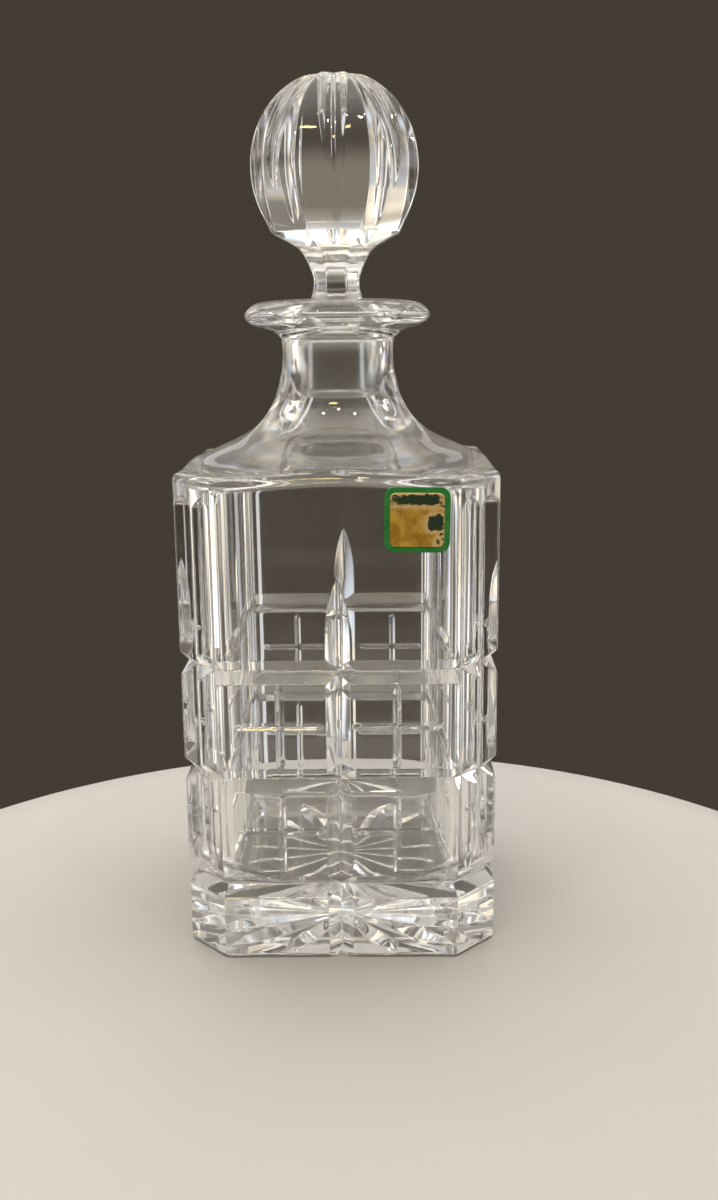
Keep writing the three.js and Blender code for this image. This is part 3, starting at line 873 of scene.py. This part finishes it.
def lights():
    """Small lamps that glint in the cuts, and soft ones that the glass doesn't show."""
    for values in LAMPS:
        softbox(*values)
    for values in FILLS:
        fill = softbox(*values)
        fill.visible_glossy = fill.visible_transmission = False


BACKDROP = (0.044, 0.036, 0.027, 1)
SHADED_LOW, SHADED_HIGH = (0.022, 0.015, 0.01, 1), (0.16, 0.142, 0.116, 1)  # as seen in the glass
DARK_WALL, WARM_WALL, COOL_WALL = (0.2, 0.18, 0.155, 1), (1.5, 1.3, 1.02, 1), (1.22, 1.33, 1.5, 1)
CEILING = ((0.28, 0), (0.48, 0.06), (0.62, 0.14), (0.76, 0.3), (0.92, 1))  # height of a direction, share
CEILING_LIGHT = (0.9, 0.86, 0.79, 1)


class Room:
    """The world's light, worked out by nodes from the direction looked in."""

    def __init__(self):
        world = bpy.data.worlds.new("dark_room")
        bpy.context.scene.world = world
        world.use_nodes = True
        self.nodes, self.links = world.node_tree.nodes, world.node_tree.links
        self.direction = self.nodes.new("ShaderNodeTexCoord").outputs["Generated"]
        split = self.nodes.new("ShaderNodeSeparateXYZ")
        self.links.new(self.direction, split.inputs[0])
        self.split = split.outputs

    def math(self, operation, a, b):
        node = self.nodes.new("ShaderNodeMath")
        node.operation = operation
        self.links.new(a, node.inputs[0])
        self.links.new(b, node.inputs[1])
        return node.outputs[0]

    def blend(self, value, start, end):
        node = self.nodes.new("ShaderNodeMapRange")
        node.interpolation_type = "SMOOTHSTEP"
        node.inputs["From Min"].default_value = start
        node.inputs["From Max"].default_value = end
        self.links.new(value, node.inputs["Value"])
        return node.outputs[0]

    def noise(self, scale, detail, start, end):
        node = self.nodes.new("ShaderNodeTexNoise")
        node.inputs["Scale"].default_value = scale
        node.inputs["Detail"].default_value = detail
        self.links.new(self.direction, node.inputs["Vector"])
        return self.blend(node.outputs["Fac"], start, end)

    def ramp(self, value, stops):
        node = self.nodes.new("ShaderNodeValToRGB")
        elements = node.color_ramp.elements
        for i, (position, share) in enumerate(stops):
            stop = elements[i] if i < len(elements) else elements.new(position)
            stop.position = position
            stop.color = (share, share, share, 1)
        self.links.new(value, node.inputs[0])
        return node.outputs[0]

    def mix(self, share, a, b):
        node = self.nodes.new("ShaderNodeMix")
        node.data_type = "RGBA"
        self.links.new(share, node.inputs[0])
        for socket, value in ((node.inputs[6], a), (node.inputs[7], b)):
            if isinstance(value, tuple):
                socket.default_value = value
            else:
                self.links.new(value, socket)
        return node.outputs[2]


def dark_room():
    """A room with uneven walls, a bright ceiling and a dark warm backdrop.

    The glass shows all of it. Seen directly, there is only the backdrop.
    """
    room = Room()
    beside_backdrop = room.blend(room.split["Y"], 0.93, 0.76)
    over_backdrop = room.blend(room.split["Y"], 0.7, 0.38)
    above_floor = room.blend(room.split["Z"], -0.45, -0.25)
    not_in_front = room.blend(room.split["Y"], -0.45, 0.05)
    pale = room.mix(room.noise(4.5, 1.0, 0.42, 0.58), WARM_WALL, COOL_WALL)
    walls = room.mix(room.noise(3.2, 1.5, 0.42, 0.6), DARK_WALL, pale)
    wall_share = room.math("MULTIPLY", room.math("MULTIPLY", beside_backdrop, above_floor), not_in_front)
    shaded = room.mix(room.blend(room.split["Z"], -0.1, 0.12), SHADED_LOW, SHADED_HIGH)
    around = room.mix(wall_share, shaded, walls)
    overhead = room.math("MULTIPLY", room.ramp(room.split["Z"], CEILING), over_backdrop)
    light = room.mix(overhead, around, CEILING_LIGHT)
    directly_seen = room.nodes.new("ShaderNodeLightPath").outputs["Is Camera Ray"]
    shown = room.mix(directly_seen, light, BACKDROP)
    room.links.new(shown, room.nodes["Background"].inputs["Color"])


FOCAL_LENGTH, SENSOR_HEIGHT = 36, 36
CAMERA_DISTANCE, CAMERA_HEIGHT = 0.3696, 0.1836
CAMERA_TURN, CAMERA_HEADING, CAMERA_PITCH, CAMERA_ROLL = 1.6, 0.73, 13.0, -0.6  # degrees


def photo_camera():
    """Where the picture was taken from: close, a little to the right and looking down."""
    data = bpy.data.cameras.new("camera")
    data.sensor_fit, data.sensor_height = "VERTICAL", SENSOR_HEIGHT
    data.lens = FOCAL_LENGTH
    camera = bpy.data.objects.new("camera", data)
    bpy.context.scene.collection.objects.link(camera)
    turn = math.radians(CAMERA_TURN)
    across, behind = CAMERA_DISTANCE * math.sin(turn), -CAMERA_DISTANCE * math.cos(turn)
    stand = Matrix.Translation((across, behind, CAMERA_HEIGHT))
    heading = Matrix.Rotation(math.radians(CAMERA_HEADING), 4, "Z")
    pitch = Matrix.Rotation(math.radians(90 - CAMERA_PITCH), 4, "X")
    roll = Matrix.Rotation(math.radians(CAMERA_ROLL), 4, "Z")
    camera.matrix_world = stand @ heading @ pitch @ roll
    bpy.context.scene.camera = camera


def light_paths():
    """Lets light through many layers of glass, and sets how bright the picture is."""
    scene = bpy.context.scene
    scene.cycles.max_bounces, scene.cycles.transmission_bounces, scene.cycles.glossy_bounces = 40, 40, 24
    scene.cycles.use_denoising = True
    scene.view_settings.view_transform = "Standard"
    scene.view_settings.exposure = 0.35


def hand_in(made, node, body):
    """Hides the CAD node that a piece stands in for, and puts the piece on its body."""
    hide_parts(node)
    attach(made, body)


photo_camera()
light_paths()
dark_room()
lights()
pale_floor()
clear_glass = crystal()
hand_in(decanter_glass([clear_glass]), "decanter_body", "decanter")
hand_in(stopper_glass(clear_glass, ground_crystal()), "stopper", "stopper")
hand_in(label_print(), "label_backing", "decanter")
hand_in(label_gold(), "label_foil", "decanter")
